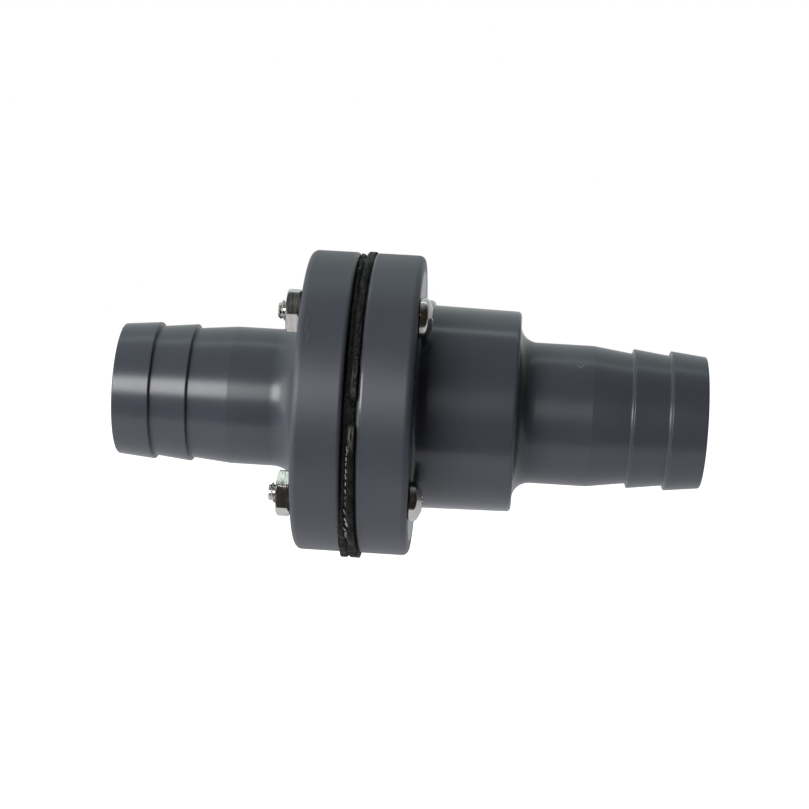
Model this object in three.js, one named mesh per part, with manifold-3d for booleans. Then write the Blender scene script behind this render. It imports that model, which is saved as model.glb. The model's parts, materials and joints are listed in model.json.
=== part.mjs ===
// In-line flapper check valve. Two flanged hose-barb halves are bolted together on one
// cloth-inserted rubber sheet. A tongue cut in the sheet is the flap: it lies on the
// inlet half's flat seat and swings up into the chamber of the outlet half.
// Millimetres. +X runs with the flow and +Z up. The origin is on the flow axis,
// in the plane of the inlet end face.

import * as THREE from "three";
import * as BufferGeometryUtils from "three/addons/utils/BufferGeometryUtils.js";
import Module from "manifold-3d";

const wasm = await Module();
wasm.setup();

// Overall stations along the flow axis.
const OVERALL_LENGTH = 139.5;
const SEAT_X = 55.9;
const SHEET_THICKNESS = 3.2;
const OUTLET_JOINT_X = SEAT_X + SHEET_THICKNESS;
const INLET_FLANGE_THICKNESS = 11.6;
const OUTLET_FLANGE_THICKNESS = 12.3;
const INLET_FLANGE_X = SEAT_X - INLET_FLANGE_THICKNESS;
const OUTLET_FLANGE_X = OUTLET_JOINT_X + OUTLET_FLANGE_THICKNESS;
const HUB_END_X = 94.9;

// Radii of the two halves.
const BORE_RADIUS = 13.2;
const FLANGE_RADIUS = 36;
const HUB_RADIUS_AT_FLANGE = 24.4;
const HUB_RADIUS_AT_END = 24;
const CHAMBER_RADIUS = 21;
const HUB_END_WALL = 4;
const CHAMBER_END_X = HUB_END_X - HUB_END_WALL;
const CHAMBER_CORNER_RADIUS = 5;

// Hose barbs for 32 mm (1-1/4 in) hose: each tooth is a cone that rises to a square step.
const BARB_PITCH = 8.85;
const TOOTH_RADIUS = 16.5;
const TOOTH_VALLEY_RADIUS = 15.6;
const NOSE_RADIUS = 15.75;
const NOSE_ROUND = 0.4;
const TOOTH_STEP_SLOPE = 0.1;
const INLET_ROOT_RADIUS = 16.5;
const OUTLET_ROOT_RADIUS = 16.8;
const ROOT_TAPER_LENGTH = 9.6;

// Rounded edges.
const FLANGE_OUTER_ROUND = 1.3;
const FLANGE_JOINT_ROUND = 1.2;
const INLET_NECK_FILLET = 7;
const HUB_FOOT_FILLET = 1.2;
const HUB_END_ROUND = 1;
const HUB_NECK_FILLET = 4.2;

// Rubber sheet, flap tongue and living hinge.
const SHEET_RADIUS = 36.8;
const SHEET_DROP = 0.5;
const FLAP_RADIUS = 17;
const FLAP_NECK_HALF_WIDTH = 10;
const FLAP_SLOT = 1.2;
const HINGE_Z = 16;
const HINGE_HALF_GAP = 0.15;

// Plates that stiffen the flap.
const WEIGHT_PLATE_RADIUS = 12.5;
const WEIGHT_PLATE_THICKNESS = 2.5;
const SEAT_PLATE_RADIUS = 10.5;
const SEAT_PLATE_THICKNESS = 1.5;
const PLATE_EDGE_CHAMFER = 0.35;

// Fasteners: 10-24 pan head machine screws with 3/8 in hexagon nuts.
const BOLT_CIRCLE_RADIUS = 29.8;
const SCREW_RADIUS = 2.4;
const SCREW_END_CHAMFER = 0.5;
const SCREW_HOLE_RADIUS = 2.7;
const FLANGE_HOLE_RADIUS = 2.75;
const HEAD_RADIUS = 4.65;
const HEAD_HEIGHT = 3;
const HEAD_RIM_HEIGHT = 1.1;
const HEAD_SHOULDER = { height: 2.15, radius: 4.2 };
const HEAD_DOME = { height: 2.85, radius: 2.9 };
const HEAD_CROWN_RADIUS = 1.4;
const RECESS_WIDTH = 1.3;
const RECESS_SPAN = 5.4;
const RECESS_DEPTH = 1.7;
const NUT_ACROSS_FLATS = 9.525;
const NUT_THICKNESS = 3.2;
const NUT_CHAMFER = 0.45;
const NUT_CORNER_OVERRUN = 0.05;
const FLANGE_SCREW_PROTRUSION = 2;
const FLAP_SCREW_PROTRUSION = 1.5;
const FLAP_SCREW_RECESS_TURN = 40;
const FLAP_NUT_TURN = 12;

// Parallel faces that touch are drawn this far apart.
const CONTACT_GAP = 0.1;
const HEAD_GAP = 0.15;

// How far a cutter runs past what it cuts.
const CUTTER_OVERRUN = 1;

// How finely round shapes are divided.
const BODY_SEGMENTS = 48;
const PLATE_SEGMENTS = 32;
const SCREW_SEGMENTS = 20;
const HOLE_SEGMENTS = 16;
const FILLET_STEPS = 5;
const EDGE_STEPS = 2;

// The four bolt positions as seen along the flow axis, with the turn of each nut's flats
// and of each head's recess as they ended up when the screws were driven home.
const BOLTS = [
  { name: "1", angle: 135, nutTurn: 157, recessTurn: 15 },
  { name: "2", angle: 225, nutTurn: 186, recessTurn: 62 },
  { name: "3", angle: 315, nutTurn: 222, recessTurn: 31 },
  { name: "4", angle: 45, nutTurn: 191, recessTurn: 78 },
];

const PVC = { color: 0x4c5257, roughness: 0.38, metalness: 0 };
const RUBBER = { color: 0x17181a, roughness: 0.62, metalness: 0 };
const STAINLESS = { color: 0xc4c2bd, roughness: 0.22, metalness: 1 };
const PLATE_STEEL = { color: 0xa9aaa8, roughness: 0.38, metalness: 1 };

/** Points of an arc from one angle to another, in degrees, as [x, radius] pairs. */
function arc(centreX, centreRadius, radius, fromDegrees, toDegrees, steps) {
  const points = [];
  for (let i = 0; i <= steps; i += 1) {
    const angle = THREE.MathUtils.degToRad(
      fromDegrees + ((toDegrees - fromDegrees) * i) / steps,
    );
    points.push([centreX + radius * Math.cos(angle), centreRadius + radius * Math.sin(angle)]);
  }
  return points;
}

/** A manifold solid of a closed three.js geometry. */
function solidOf(geometry) {
  const bare = geometry.clone();
  bare.deleteAttribute("normal");
  bare.deleteAttribute("uv");
  const merged = BufferGeometryUtils.mergeVertices(bare);
  const corners = merged.index.array;
  const triangles = [];
  for (let i = 0; i < corners.length; i += 3) {
    const [a, b, c] = [corners[i], corners[i + 1], corners[i + 2]];
    if (a !== b && b !== c && c !== a) {
      triangles.push(a, b, c);
    }
  }
  return new wasm.Manifold(new wasm.Mesh({
    numProp: 3,
    vertProperties: new Float32Array(merged.attributes.position.array),
    triVerts: new Uint32Array(triangles),
  }));
}

/** The three.js geometry of a manifold solid. */
function geometryOf(solid) {
  const mesh = solid.getMesh();
  const geometry = new THREE.BufferGeometry();
  geometry.setAttribute("position", new THREE.BufferAttribute(mesh.vertProperties, 3));
  geometry.setIndex(new THREE.BufferAttribute(mesh.triVerts, 1));
  geometry.computeVertexNormals();
  return geometry;
}

/** A named mesh of a solid, in its own material. */
function meshOf(name, solid, look) {
  const mesh = new THREE.Mesh(geometryOf(solid), new THREE.MeshStandardMaterial(look));
  mesh.name = name;
  return mesh;
}

/** A solid turned about the flow axis from [x, radius] pairs that run towards +X. */
function turned(profile, segments) {
  const points = profile.map(([x, radius]) => new THREE.Vector2(radius, x));
  const geometry = new THREE.LatheGeometry(points, segments);
  geometry.rotateZ(-Math.PI / 2);
  return solidOf(geometry);
}

/** A turned solid with a bore: the outside runs towards +X, the inside back again. */
function turnedRing(outside, inside, segments) {
  return turned([...outside, ...inside, outside[0]], segments);
}

/** A plain round bar along the flow axis. */
function bar(fromX, toX, radius, segments) {
  const geometry = new THREE.CylinderGeometry(radius, radius, toX - fromX, segments);
  geometry.rotateZ(-Math.PI / 2);
  geometry.translate((fromX + toX) / 2, 0, 0);
  return solidOf(geometry);
}

/** A rectangular block from its six limits. */
function block(fromX, toX, fromY, toY, fromZ, toZ) {
  const geometry = new THREE.BoxGeometry(toX - fromX, toY - fromY, toZ - fromZ);
  geometry.translate((fromX + toX) / 2, (fromY + toY) / 2, (fromZ + toZ) / 2);
  return solidOf(geometry);
}

/** Where a bolt's axis crosses a plane square to the flow. */
function boltPlace(angle) {
  const radians = THREE.MathUtils.degToRad(angle);
  return [0, BOLT_CIRCLE_RADIUS * Math.cos(radians), BOLT_CIRCLE_RADIUS * Math.sin(radians)];
}

/** A solid with the four bolt holes drilled through it. */
function drilled(solid, fromX, toX) {
  return BOLTS.reduce((rest, bolt) => {
    const drill = bar(
      fromX - CUTTER_OVERRUN,
      toX + CUTTER_OVERRUN,
      FLANGE_HOLE_RADIUS,
      HOLE_SEGMENTS,
    );
    return rest.subtract(drill.translate(boltPlace(bolt.angle)));
  }, solid);
}

/** The rim of a flange, from its face on the inlet side to its face on the outlet side. */
function flangeRim(fromX, toX, startRound, endRound) {
  return [
    ...arc(fromX + startRound, FLANGE_RADIUS - startRound, startRound, 180, 90, EDGE_STEPS),
    ...arc(toX - endRound, FLANGE_RADIUS - endRound, endRound, 90, 0, EDGE_STEPS),
  ];
}

/** Inlet half: hose barb, neck and bolted flange with the flat seat. */
function inletBody() {
  const first = BARB_PITCH;
  const second = 2 * BARB_PITCH;
  const fillet = INLET_NECK_FILLET;
  const outside = [
    [0, BORE_RADIUS + NOSE_ROUND],
    [0, NOSE_RADIUS - NOSE_ROUND],
    [NOSE_ROUND, NOSE_RADIUS],
    [first, TOOTH_RADIUS],
    [first + TOOTH_STEP_SLOPE, TOOTH_VALLEY_RADIUS],
    [second, TOOTH_RADIUS],
    [second + TOOTH_STEP_SLOPE, TOOTH_VALLEY_RADIUS],
    [second + ROOT_TAPER_LENGTH, INLET_ROOT_RADIUS],
    ...arc(INLET_FLANGE_X - fillet, INLET_ROOT_RADIUS + fillet, fillet, -90, 0, FILLET_STEPS),
    ...flangeRim(INLET_FLANGE_X, SEAT_X, FLANGE_OUTER_ROUND, FLANGE_JOINT_ROUND),
  ];
  const inside = [
    [SEAT_X, BORE_RADIUS],
    [NOSE_ROUND, BORE_RADIUS],
  ];
  const body = turnedRing(outside, inside, BODY_SEGMENTS);
  return meshOf("inlet_body", drilled(body, INLET_FLANGE_X, SEAT_X), PVC);
}

/** Outlet half: bolted flange, flap chamber in the hub, neck and hose barb. */
function outletBody() {
  const last = OVERALL_LENGTH - BARB_PITCH + NOSE_ROUND;
  const middle = last - BARB_PITCH;
  const foot = HUB_FOOT_FILLET;
  const hubRound = HUB_END_ROUND;
  const neck = HUB_NECK_FILLET;
  const corner = CHAMBER_CORNER_RADIUS;
  const outside = [
    ...flangeRim(OUTLET_JOINT_X, OUTLET_FLANGE_X, FLANGE_JOINT_ROUND, FLANGE_OUTER_ROUND),
    ...arc(OUTLET_FLANGE_X + foot, HUB_RADIUS_AT_FLANGE + foot, foot, 180, 270, EDGE_STEPS),
    ...arc(HUB_END_X - hubRound, HUB_RADIUS_AT_END - hubRound, hubRound, 90, 0, EDGE_STEPS),
    ...arc(HUB_END_X + neck, OUTLET_ROOT_RADIUS + neck, neck, 180, 270, FILLET_STEPS),
    [middle - ROOT_TAPER_LENGTH, OUTLET_ROOT_RADIUS],
    [middle - TOOTH_STEP_SLOPE, TOOTH_VALLEY_RADIUS],
    [middle, TOOTH_RADIUS],
    [last - TOOTH_STEP_SLOPE, TOOTH_VALLEY_RADIUS],
    [last, TOOTH_RADIUS],
    [OVERALL_LENGTH - NOSE_ROUND, NOSE_RADIUS],
    [OVERALL_LENGTH, NOSE_RADIUS - NOSE_ROUND],
    [OVERALL_LENGTH, BORE_RADIUS + NOSE_ROUND],
  ];
  const inside = [
    [OVERALL_LENGTH - NOSE_ROUND, BORE_RADIUS],
    [CHAMBER_END_X, BORE_RADIUS],
    ...arc(CHAMBER_END_X - corner, CHAMBER_RADIUS - corner, corner, 0, 90, FILLET_STEPS),
    [OUTLET_JOINT_X, CHAMBER_RADIUS],
  ];
  const body = turnedRing(outside, inside, BODY_SEGMENTS);
  return meshOf("outlet_body", drilled(body, OUTLET_JOINT_X, OUTLET_FLANGE_X), PVC);
}

/** A slab of the sheet's thickness: a disc with a neck, cut off at a height. */
function tongueOutline(radius, neckHalfWidth, topZ) {
  const fromX = SEAT_X + CONTACT_GAP;
  const toX = OUTLET_JOINT_X - CONTACT_GAP;
  const disc = bar(fromX, toX, radius, PLATE_SEGMENTS);
  const neck = block(fromX, toX, -neckHalfWidth, neckHalfWidth, 0, topZ);
  const wide = radius + CUTTER_OVERRUN;
  const belowHinge = block(
    fromX - CUTTER_OVERRUN,
    toX + CUTTER_OVERRUN,
    -wide,
    wide,
    -wide,
    topZ,
  );
  return disc.add(neck).intersect(belowHinge);
}

/** The clamped part of the rubber sheet, with the U-shaped slot that frees the flap. */
function sheetRing() {
  const fromX = SEAT_X + CONTACT_GAP;
  const toX = OUTLET_JOINT_X - CONTACT_GAP;
  const sheet = bar(fromX, toX, SHEET_RADIUS, BODY_SEGMENTS).translate([0, 0, -SHEET_DROP]);
  const opening = tongueOutline(
    FLAP_RADIUS + FLAP_SLOT,
    FLAP_NECK_HALF_WIDTH + FLAP_SLOT,
    HINGE_Z + HINGE_HALF_GAP,
  );
  return meshOf("gasket_sheet", drilled(sheet.subtract(opening), fromX, toX), RUBBER);
}

/** The free tongue of the sheet, up to the line where it bends. */
function flapTongue() {
  const tongue = tongueOutline(FLAP_RADIUS, FLAP_NECK_HALF_WIDTH, HINGE_Z - HINGE_HALF_GAP);
  const hole = bar(
    SEAT_X - CUTTER_OVERRUN,
    OUTLET_JOINT_X + CUTTER_OVERRUN,
    SCREW_HOLE_RADIUS,
    HOLE_SEGMENTS,
  );
  return meshOf("flap", tongue.subtract(hole), RUBBER);
}

/** A flat round plate with the flap screw's hole. */
function flapPlate(name, fromX, thickness, radius) {
  const edge = PLATE_EDGE_CHAMFER;
  const outside = [
    [fromX, radius - edge],
    [fromX + edge, radius],
    [fromX + thickness - edge, radius],
    [fromX + thickness, radius - edge],
  ];
  const inside = [
    [fromX + thickness, SCREW_HOLE_RADIUS],
    [fromX, SCREW_HOLE_RADIUS],
  ];
  return meshOf(name, turnedRing(outside, inside, PLATE_SEGMENTS), PLATE_STEEL);
}

/** A pan head machine screw along -X: the head's flat underside is at x = 0. */
function panHeadScrew(length, recessTurn) {
  const profile = [
    [-length, 0],
    [-length, SCREW_RADIUS - SCREW_END_CHAMFER],
    [-length + SCREW_END_CHAMFER, SCREW_RADIUS],
    [0, SCREW_RADIUS],
    [0, HEAD_RADIUS],
    [HEAD_RIM_HEIGHT, HEAD_RADIUS],
    [HEAD_SHOULDER.height, HEAD_SHOULDER.radius],
    [HEAD_DOME.height, HEAD_DOME.radius],
    [HEAD_HEIGHT, HEAD_CROWN_RADIUS],
    [HEAD_HEIGHT, 0],
  ];
  const half = RECESS_WIDTH / 2;
  const reach = RECESS_SPAN / 2;
  const floor = HEAD_HEIGHT - RECESS_DEPTH;
  const slot = block(floor, HEAD_HEIGHT + CUTTER_OVERRUN, -reach, reach, -half, half);
  const cross = slot.add(slot.rotate([90, 0, 0])).rotate([recessTurn, 0, 0]);
  return turned(profile, SCREW_SEGMENTS).subtract(cross);
}

/** A hexagon nut along +X from x = 0, with chamfered corners and a plain hole. */
function hexNut(turn) {
  const cornerRadius = NUT_ACROSS_FLATS / Math.sqrt(3);
  const flatRadius = NUT_ACROSS_FLATS / 2;
  const blankRadius = cornerRadius + NUT_CORNER_OVERRUN;
  const hexagon = bar(0, NUT_THICKNESS, cornerRadius, 6).rotate([turn, 0, 0]);
  const chamfered = turnedRing(
    [
      [0, flatRadius],
      [NUT_CHAMFER, blankRadius],
      [NUT_THICKNESS - NUT_CHAMFER, blankRadius],
      [NUT_THICKNESS, flatRadius],
    ],
    [
      [NUT_THICKNESS, SCREW_HOLE_RADIUS],
      [0, SCREW_HOLE_RADIUS],
    ],
    SCREW_SEGMENTS,
  );
  return hexagon.intersect(chamfered);
}

/** The four screws with their nuts that clamp the flanges on the sheet. */
function flangeFasteners() {
  const headX = OUTLET_FLANGE_X + HEAD_GAP;
  const nutX = INLET_FLANGE_X - CONTACT_GAP - NUT_THICKNESS;
  const length = headX - nutX + FLANGE_SCREW_PROTRUSION;
  return BOLTS.flatMap(({ name, angle, nutTurn, recessTurn }) => {
    const screw = meshOf(`flange_screw_${name}`, panHeadScrew(length, recessTurn), STAINLESS);
    const nut = meshOf(`flange_nut_${name}`, hexNut(nutTurn), STAINLESS);
    screw.position.set(...boltPlace(angle)).setX(headX);
    nut.position.set(...boltPlace(angle)).setX(nutX);
    return [screw, nut];
  });
}

/** The two plates and the screw and nut that stiffen the flap. */
function flapHardware() {
  const weightX = OUTLET_JOINT_X;
  const seatPlateX = SEAT_X - SEAT_PLATE_THICKNESS;
  const headX = seatPlateX - CONTACT_GAP;
  const nutX = weightX + WEIGHT_PLATE_THICKNESS + CONTACT_GAP;
  const length = nutX + NUT_THICKNESS + FLAP_SCREW_PROTRUSION - headX;
  const screwSolid = panHeadScrew(length, FLAP_SCREW_RECESS_TURN).rotate([0, 0, 180]);
  const screw = meshOf("flap_screw", screwSolid, STAINLESS);
  const nut = meshOf("flap_nut", hexNut(FLAP_NUT_TURN), STAINLESS);
  screw.position.setX(headX);
  nut.position.setX(nutX);
  return [
    flapPlate("flap_weight_plate", weightX, WEIGHT_PLATE_THICKNESS, WEIGHT_PLATE_RADIUS),
    flapPlate("flap_seat_plate", seatPlateX, SEAT_PLATE_THICKNESS, SEAT_PLATE_RADIUS),
    screw,
    nut,
  ];
}

/** The whole valve: the bolted housing and the flap that swings in it. */
function checkValve() {
  const housing = new THREE.Group();
  housing.add(inletBody(), outletBody(), sheetRing(), ...flangeFasteners());
  const flapper = new THREE.Group();
  flapper.add(flapTongue(), ...flapHardware());
  const valve = new THREE.Group();
  valve.add(housing, flapper);
  return valve;
}

export default checkValve();
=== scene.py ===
"""The looks of an in-line flapper check valve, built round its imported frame.

Two dark grey PVC halves with hose barbs are bolted together on a sheet of black
cloth-inserted rubber. A tongue cut in the sheet is the flap. It hangs on the inlet half's
flat seat, stiffened by two steel plates, and swings up into the outlet half's chamber.

The scene is in metres. Sizes below are in millimetres and are turned into metres where a
mesh is made. +X runs with the flow and +Z up, as in the frame.
"""

import json
import logging
import math
from dataclasses import dataclass, field
from enum import Enum
from typing import Callable, Sequence

import bmesh
import bpy
from mathutils import Matrix, Vector, noise


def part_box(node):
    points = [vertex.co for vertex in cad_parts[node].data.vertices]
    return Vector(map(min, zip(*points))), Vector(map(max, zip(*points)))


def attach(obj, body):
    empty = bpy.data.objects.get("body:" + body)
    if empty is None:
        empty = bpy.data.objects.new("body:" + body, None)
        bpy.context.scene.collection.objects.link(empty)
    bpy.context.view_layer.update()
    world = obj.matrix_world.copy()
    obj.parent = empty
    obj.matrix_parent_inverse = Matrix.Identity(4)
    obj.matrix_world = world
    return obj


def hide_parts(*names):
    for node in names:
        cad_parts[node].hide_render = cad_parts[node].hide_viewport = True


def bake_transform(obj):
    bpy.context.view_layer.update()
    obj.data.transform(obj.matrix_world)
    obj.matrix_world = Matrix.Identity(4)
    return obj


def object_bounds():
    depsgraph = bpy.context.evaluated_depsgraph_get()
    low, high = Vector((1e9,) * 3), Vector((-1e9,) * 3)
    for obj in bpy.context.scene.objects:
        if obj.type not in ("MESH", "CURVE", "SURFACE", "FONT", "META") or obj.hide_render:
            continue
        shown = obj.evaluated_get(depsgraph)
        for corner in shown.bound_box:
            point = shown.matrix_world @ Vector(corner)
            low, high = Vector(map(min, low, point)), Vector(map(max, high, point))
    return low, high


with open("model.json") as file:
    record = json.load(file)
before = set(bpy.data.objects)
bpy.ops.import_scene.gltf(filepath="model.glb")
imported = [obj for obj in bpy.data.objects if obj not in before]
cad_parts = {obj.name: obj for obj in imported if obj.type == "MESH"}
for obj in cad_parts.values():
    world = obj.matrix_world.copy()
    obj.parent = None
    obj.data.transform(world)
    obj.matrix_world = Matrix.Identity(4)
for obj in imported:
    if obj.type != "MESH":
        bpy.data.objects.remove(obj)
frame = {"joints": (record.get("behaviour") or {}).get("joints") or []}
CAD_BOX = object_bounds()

LOG = logging.getLogger("check_valve")
MM = 0.001
MERGE_GAP = 0.0005
SPARE = 1.0
Colour = tuple[float, float, float]
Section = tuple[float, float]
Socket = bpy.types.NodeSocket


class Body(Enum):
    """The rigid bodies of the frame."""

    HOUSING = "housing"
    FLAPPER = "flapper"


class Slot(Enum):
    """The record's material slots."""

    PVC = "pvc"
    RUBBER = "sheet_rubber"
    PLATE = "flap_plate_steel"
    FASTENER = "stainless_fastener"


class Cut(Enum):
    """What a second shape does to the first."""

    REMOVE = "DIFFERENCE"
    JOIN = "UNION"
    KEEP = "INTERSECT"


# ---------------------------------------------------------------- shapes


@dataclass
class Outline:
    """A section through a turned piece, as (x, radius) points in millimetres."""

    points: list[Section] = field(default_factory=list)
    support: float = 0.12

    def at(self, x: float, radius: float) -> "Outline":
        """Adds one corner."""
        self.points.append((x, radius))
        return self

    def run(self, x: float, radius: float) -> "Outline":
        """Adds a straight run to a point.

        Args:
            x: Where the run ends along the flow.
            radius: The radius that it ends at.

        Returns:
            The outline. The run has a point close to each end, so smooth shading
            stays at its ends and its middle looks straight.
        """
        last_x, last_radius = self.points[-1]
        length = math.hypot(x - last_x, radius - last_radius)
        if length > 3 * self.support:
            share = self.support / length
            for step in (share, 1 - share):
                self.at(last_x + (x - last_x) * step, last_radius + (radius - last_radius) * step)
        return self.at(x, radius)

    def arc(
        self, x: float, radius: float, size: float, start: float, end: float, steps: int = 8,
    ) -> "Outline":
        """Adds a round stretch.

        Args:
            x: The arc's centre along the flow.
            radius: The arc's centre from the axis.
            size: The arc's own radius.
            start: The first angle, in degrees from +X towards the outside.
            end: The last angle.
            steps: How many chords make it.

        Returns:
            The outline.
        """
        for i in range(steps + 1):
            angle = math.radians(start + (end - start) * i / steps)
            self.points.append((x + size * math.cos(angle), radius + size * math.sin(angle)))
        return self

    def arc_to(
        self, x: float, radius: float, size: float, start: float, end: float, steps: int = 8,
    ) -> "Outline":
        """Adds a straight run to a round stretch, and the round stretch.

        Args:
            x: The arc's centre along the flow.
            radius: The arc's centre from the axis.
            size: The arc's own radius.
            start: The first angle, in degrees from +X towards the outside.
            end: The last angle.
            steps: How many chords make it.

        Returns:
            The outline.
        """
        angle = math.radians(start)
        self.run(x + size * math.cos(angle), radius + size * math.sin(angle))
        self.points.pop()
        return self.arc(x, radius, size, start, end, steps)

    def drawn(self, shape: bmesh.types.BMesh, closed: bool) -> list[bmesh.types.BMVert | bmesh.types.BMEdge]:
        """Draws the outline above the flow axis.

        Args:
            shape: The empty shape that it is drawn in.
            closed: Whether its last point joins its first.

        Returns:
            The new corners and sides.
        """
        corners = [shape.verts.new((x * MM, 0, radius * MM)) for x, radius in self.points]
        after = corners[1:] + corners[:1] if closed else corners[1:]
        return corners + [shape.edges.new(pair) for pair in zip(corners, after)]


def sealed(shape: bmesh.types.BMesh, gap: float = MERGE_GAP) -> bmesh.types.BMesh:
    """Merges a shape's doubled corners and turns its faces outwards.

    Args:
        shape: The shape, which is changed.
        gap: How close two corners lie to be merged, in millimetres.

    Returns:
        The same shape.
    """
    bmesh.ops.remove_doubles(shape, verts=shape.verts, dist=gap * MM)
    bmesh.ops.recalc_face_normals(shape, faces=shape.faces)
    return shape


def turned(outline: Outline, steps: int = 192, sectors: int = 16) -> bmesh.types.BMesh:
    """Spins a closed outline once about the flow axis.

    Args:
        outline: The section, which closes from its last point to its first.
        steps: How many faces go round.
        sectors: How many equal wedges are spun and joined. It divides the steps.

    Returns:
        A closed mesh in metres.
    """
    shape = bmesh.new()
    bmesh.ops.spin(
        shape, geom=outline.drawn(shape, closed=True), cent=(0, 0, 0), axis=(1, 0, 0),
        angle=math.tau / sectors, steps=steps // sectors,
    )
    wedge = shape.verts[:] + shape.edges[:] + shape.faces[:]
    for number in range(1, sectors):
        copied = bmesh.ops.duplicate(shape, geom=wedge)["geom"]
        bmesh.ops.rotate(
            shape, verts=[part for part in copied if isinstance(part, bmesh.types.BMVert)],
            cent=(0, 0, 0), matrix=Matrix.Rotation(math.tau * number / sectors, 3, "X"),
        )
    return sealed(shape)


def solid_turned(outline: Outline, steps: int) -> bmesh.types.BMesh:
    """Spins an outline that starts and ends on the axis, and closes its poles.

    Args:
        outline: The section, from one pole to the other.
        steps: How many faces go round.

    Returns:
        A closed mesh in metres.
    """
    shape = bmesh.new()
    bmesh.ops.spin(
        shape, geom=outline.drawn(shape, closed=False), cent=(0, 0, 0), axis=(1, 0, 0),
        angle=math.tau, steps=steps, use_merge=True,
    )
    return sealed(shape)


def bars(
    from_x: float,
    to_x: float,
    radius: float,
    places: Sequence[Vector],
    segments: int = 64,
) -> bmesh.types.BMesh:
    """Plain round bars that lie along the flow.

    Args:
        from_x: Where they start, in millimetres.
        to_x: Where they end.
        radius: Their radius.
        places: Where each one's centre line lies, in metres.
        segments: How many faces go round each.

    Returns:
        All of the bars in one shape.
    """
    shape = bmesh.new()
    middle = Vector(((from_x + to_x) / 2 * MM, 0, 0))
    for place in places:
        bmesh.ops.create_cone(
            shape, cap_ends=True, segments=segments, radius1=radius * MM, radius2=radius * MM,
            depth=(to_x - from_x) * MM,
            matrix=Matrix.Translation(middle + place) @ Matrix.Rotation(math.pi / 2, 4, "Y"),
        )
    return shape


def bar(from_x: float, to_x: float, radius: float, segments: int = 64) -> bmesh.types.BMesh:
    """A plain round bar on the flow axis, in millimetres."""
    return bars(from_x, to_x, radius, [Vector()], segments)


def block(low: Sequence[float], high: Sequence[float]) -> bmesh.types.BMesh:
    """A rectangular block between two corners.

    Args:
        low: The corner with the least x, y and z, in millimetres.
        high: The corner with the greatest.

    Returns:
        The block, in metres.
    """
    shape = bmesh.new()
    middle = [(a + b) / 2 * MM for a, b in zip(low, high)]
    size = [(b - a) * MM for a, b in zip(low, high)]
    bmesh.ops.create_cube(shape, size=1, matrix=Matrix.LocRotScale(Vector(middle), None, Vector(size)))
    return shape


def smooth(value: float, low: float, high: float) -> float:
    """Rises smoothly from 0 at one value to 1 at another."""
    share = min(1.0, max(0.0, (value - low) / (high - low)))
    return share * share * (3 - 2 * share)


def moved(shape: bmesh.types.BMesh, place: Matrix) -> bmesh.types.BMesh:
    """A shape put somewhere else."""
    shape.transform(place)
    return shape


def finished_mesh(name: str, shape: bmesh.types.BMesh) -> bpy.types.Mesh:
    """Writes a shape to a mesh and frees the shape.

    Args:
        name: The mesh's name.
        shape: The shape.

    Returns:
        The mesh.
    """
    mesh = bpy.data.meshes.new(name)
    shape.to_mesh(mesh)
    shape.free()
    return mesh


def temporary(shape: bmesh.types.BMesh) -> bpy.types.Object:
    """Puts a shape in an object, so a modifier can work on it.

    Args:
        shape: The shape, which is freed.

    Returns:
        The object, which its user removes.
    """
    thing = bpy.data.objects.new("work", finished_mesh("work", shape))
    bpy.context.scene.collection.objects.link(thing)
    return thing


def modified(thing: bpy.types.Object) -> bmesh.types.BMesh:
    """Reads the shape that an object's modifiers leave.

    Args:
        thing: The object.

    Returns:
        A new shape.
    """
    bpy.context.view_layer.update()
    graph = bpy.context.evaluated_depsgraph_get()
    shape = bmesh.new()
    shape.from_object(thing, graph)
    return shape


def carved(base: bmesh.types.BMesh, tool: bmesh.types.BMesh, cut: Cut) -> bmesh.types.BMesh:
    """Cuts, joins or trims one shape by another.

    Args:
        base: The shape that is worked on. It is freed.
        tool: The shape that works on it. It is freed.
        cut: What the tool does.

    Returns:
        The new shape.
    """
    work, second = temporary(base), temporary(tool)
    modifier = work.modifiers.new("cut", "BOOLEAN")
    modifier.operation = cut.value
    modifier.solver = "EXACT"
    modifier.object = second
    shape = modified(work)
    for thing in (work, second):
        mesh = thing.data
        bpy.data.objects.remove(thing)
        bpy.data.meshes.remove(mesh)
    bmesh.ops.remove_doubles(shape, verts=shape.verts, dist=MERGE_GAP * MM)
    bmesh.ops.dissolve_degenerate(shape, edges=shape.edges, dist=0.4 * MERGE_GAP * MM)
    return shape


def soften(shape: bmesh.types.BMesh, width: float, above: float = 30, segments: int = 3) -> None:
    """Rounds every edge that is sharper than an angle.

    Args:
        shape: The shape, which is changed.
        width: How far the rounding reaches, in millimetres.
        above: The least angle between two faces that counts as sharp, in degrees.
        segments: How many faces make each rounding.
    """
    limit = math.radians(above)
    sharp = [edge for edge in shape.edges if len(edge.link_faces) == 2 and edge.calc_face_angle(0) > limit]
    bmesh.ops.bevel(
        shape, geom=sharp, offset=width * MM, offset_type="OFFSET", affect="EDGES",
        segments=segments, profile=0.5, material=-1, clamp_overlap=True,
    )


def piece(
    name: str,
    shape: bmesh.types.BMesh,
    material: bpy.types.Material,
    crease: float = 32,
) -> bpy.types.Object:
    """Makes a finished, smooth-shaded object of a shape.

    Args:
        name: The object's name.
        shape: Its shape, which is freed.
        material: Its finish.
        crease: Edges sharper than this many degrees stay sharp.

    Returns:
        The object, at the origin, with its place in its mesh.
    """
    limit = math.radians(crease)
    for face in shape.faces:
        face.smooth = True
    for edge in shape.edges:
        edge.smooth = len(edge.link_faces) == 2 and edge.calc_face_angle(0) < limit
    thing = bpy.data.objects.new(name, finished_mesh(name, shape))
    bpy.context.scene.collection.objects.link(thing)
    thing.data.materials.append(material)
    LOG.info("%s: %d faces", name, len(thing.data.polygons))
    return thing


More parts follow.
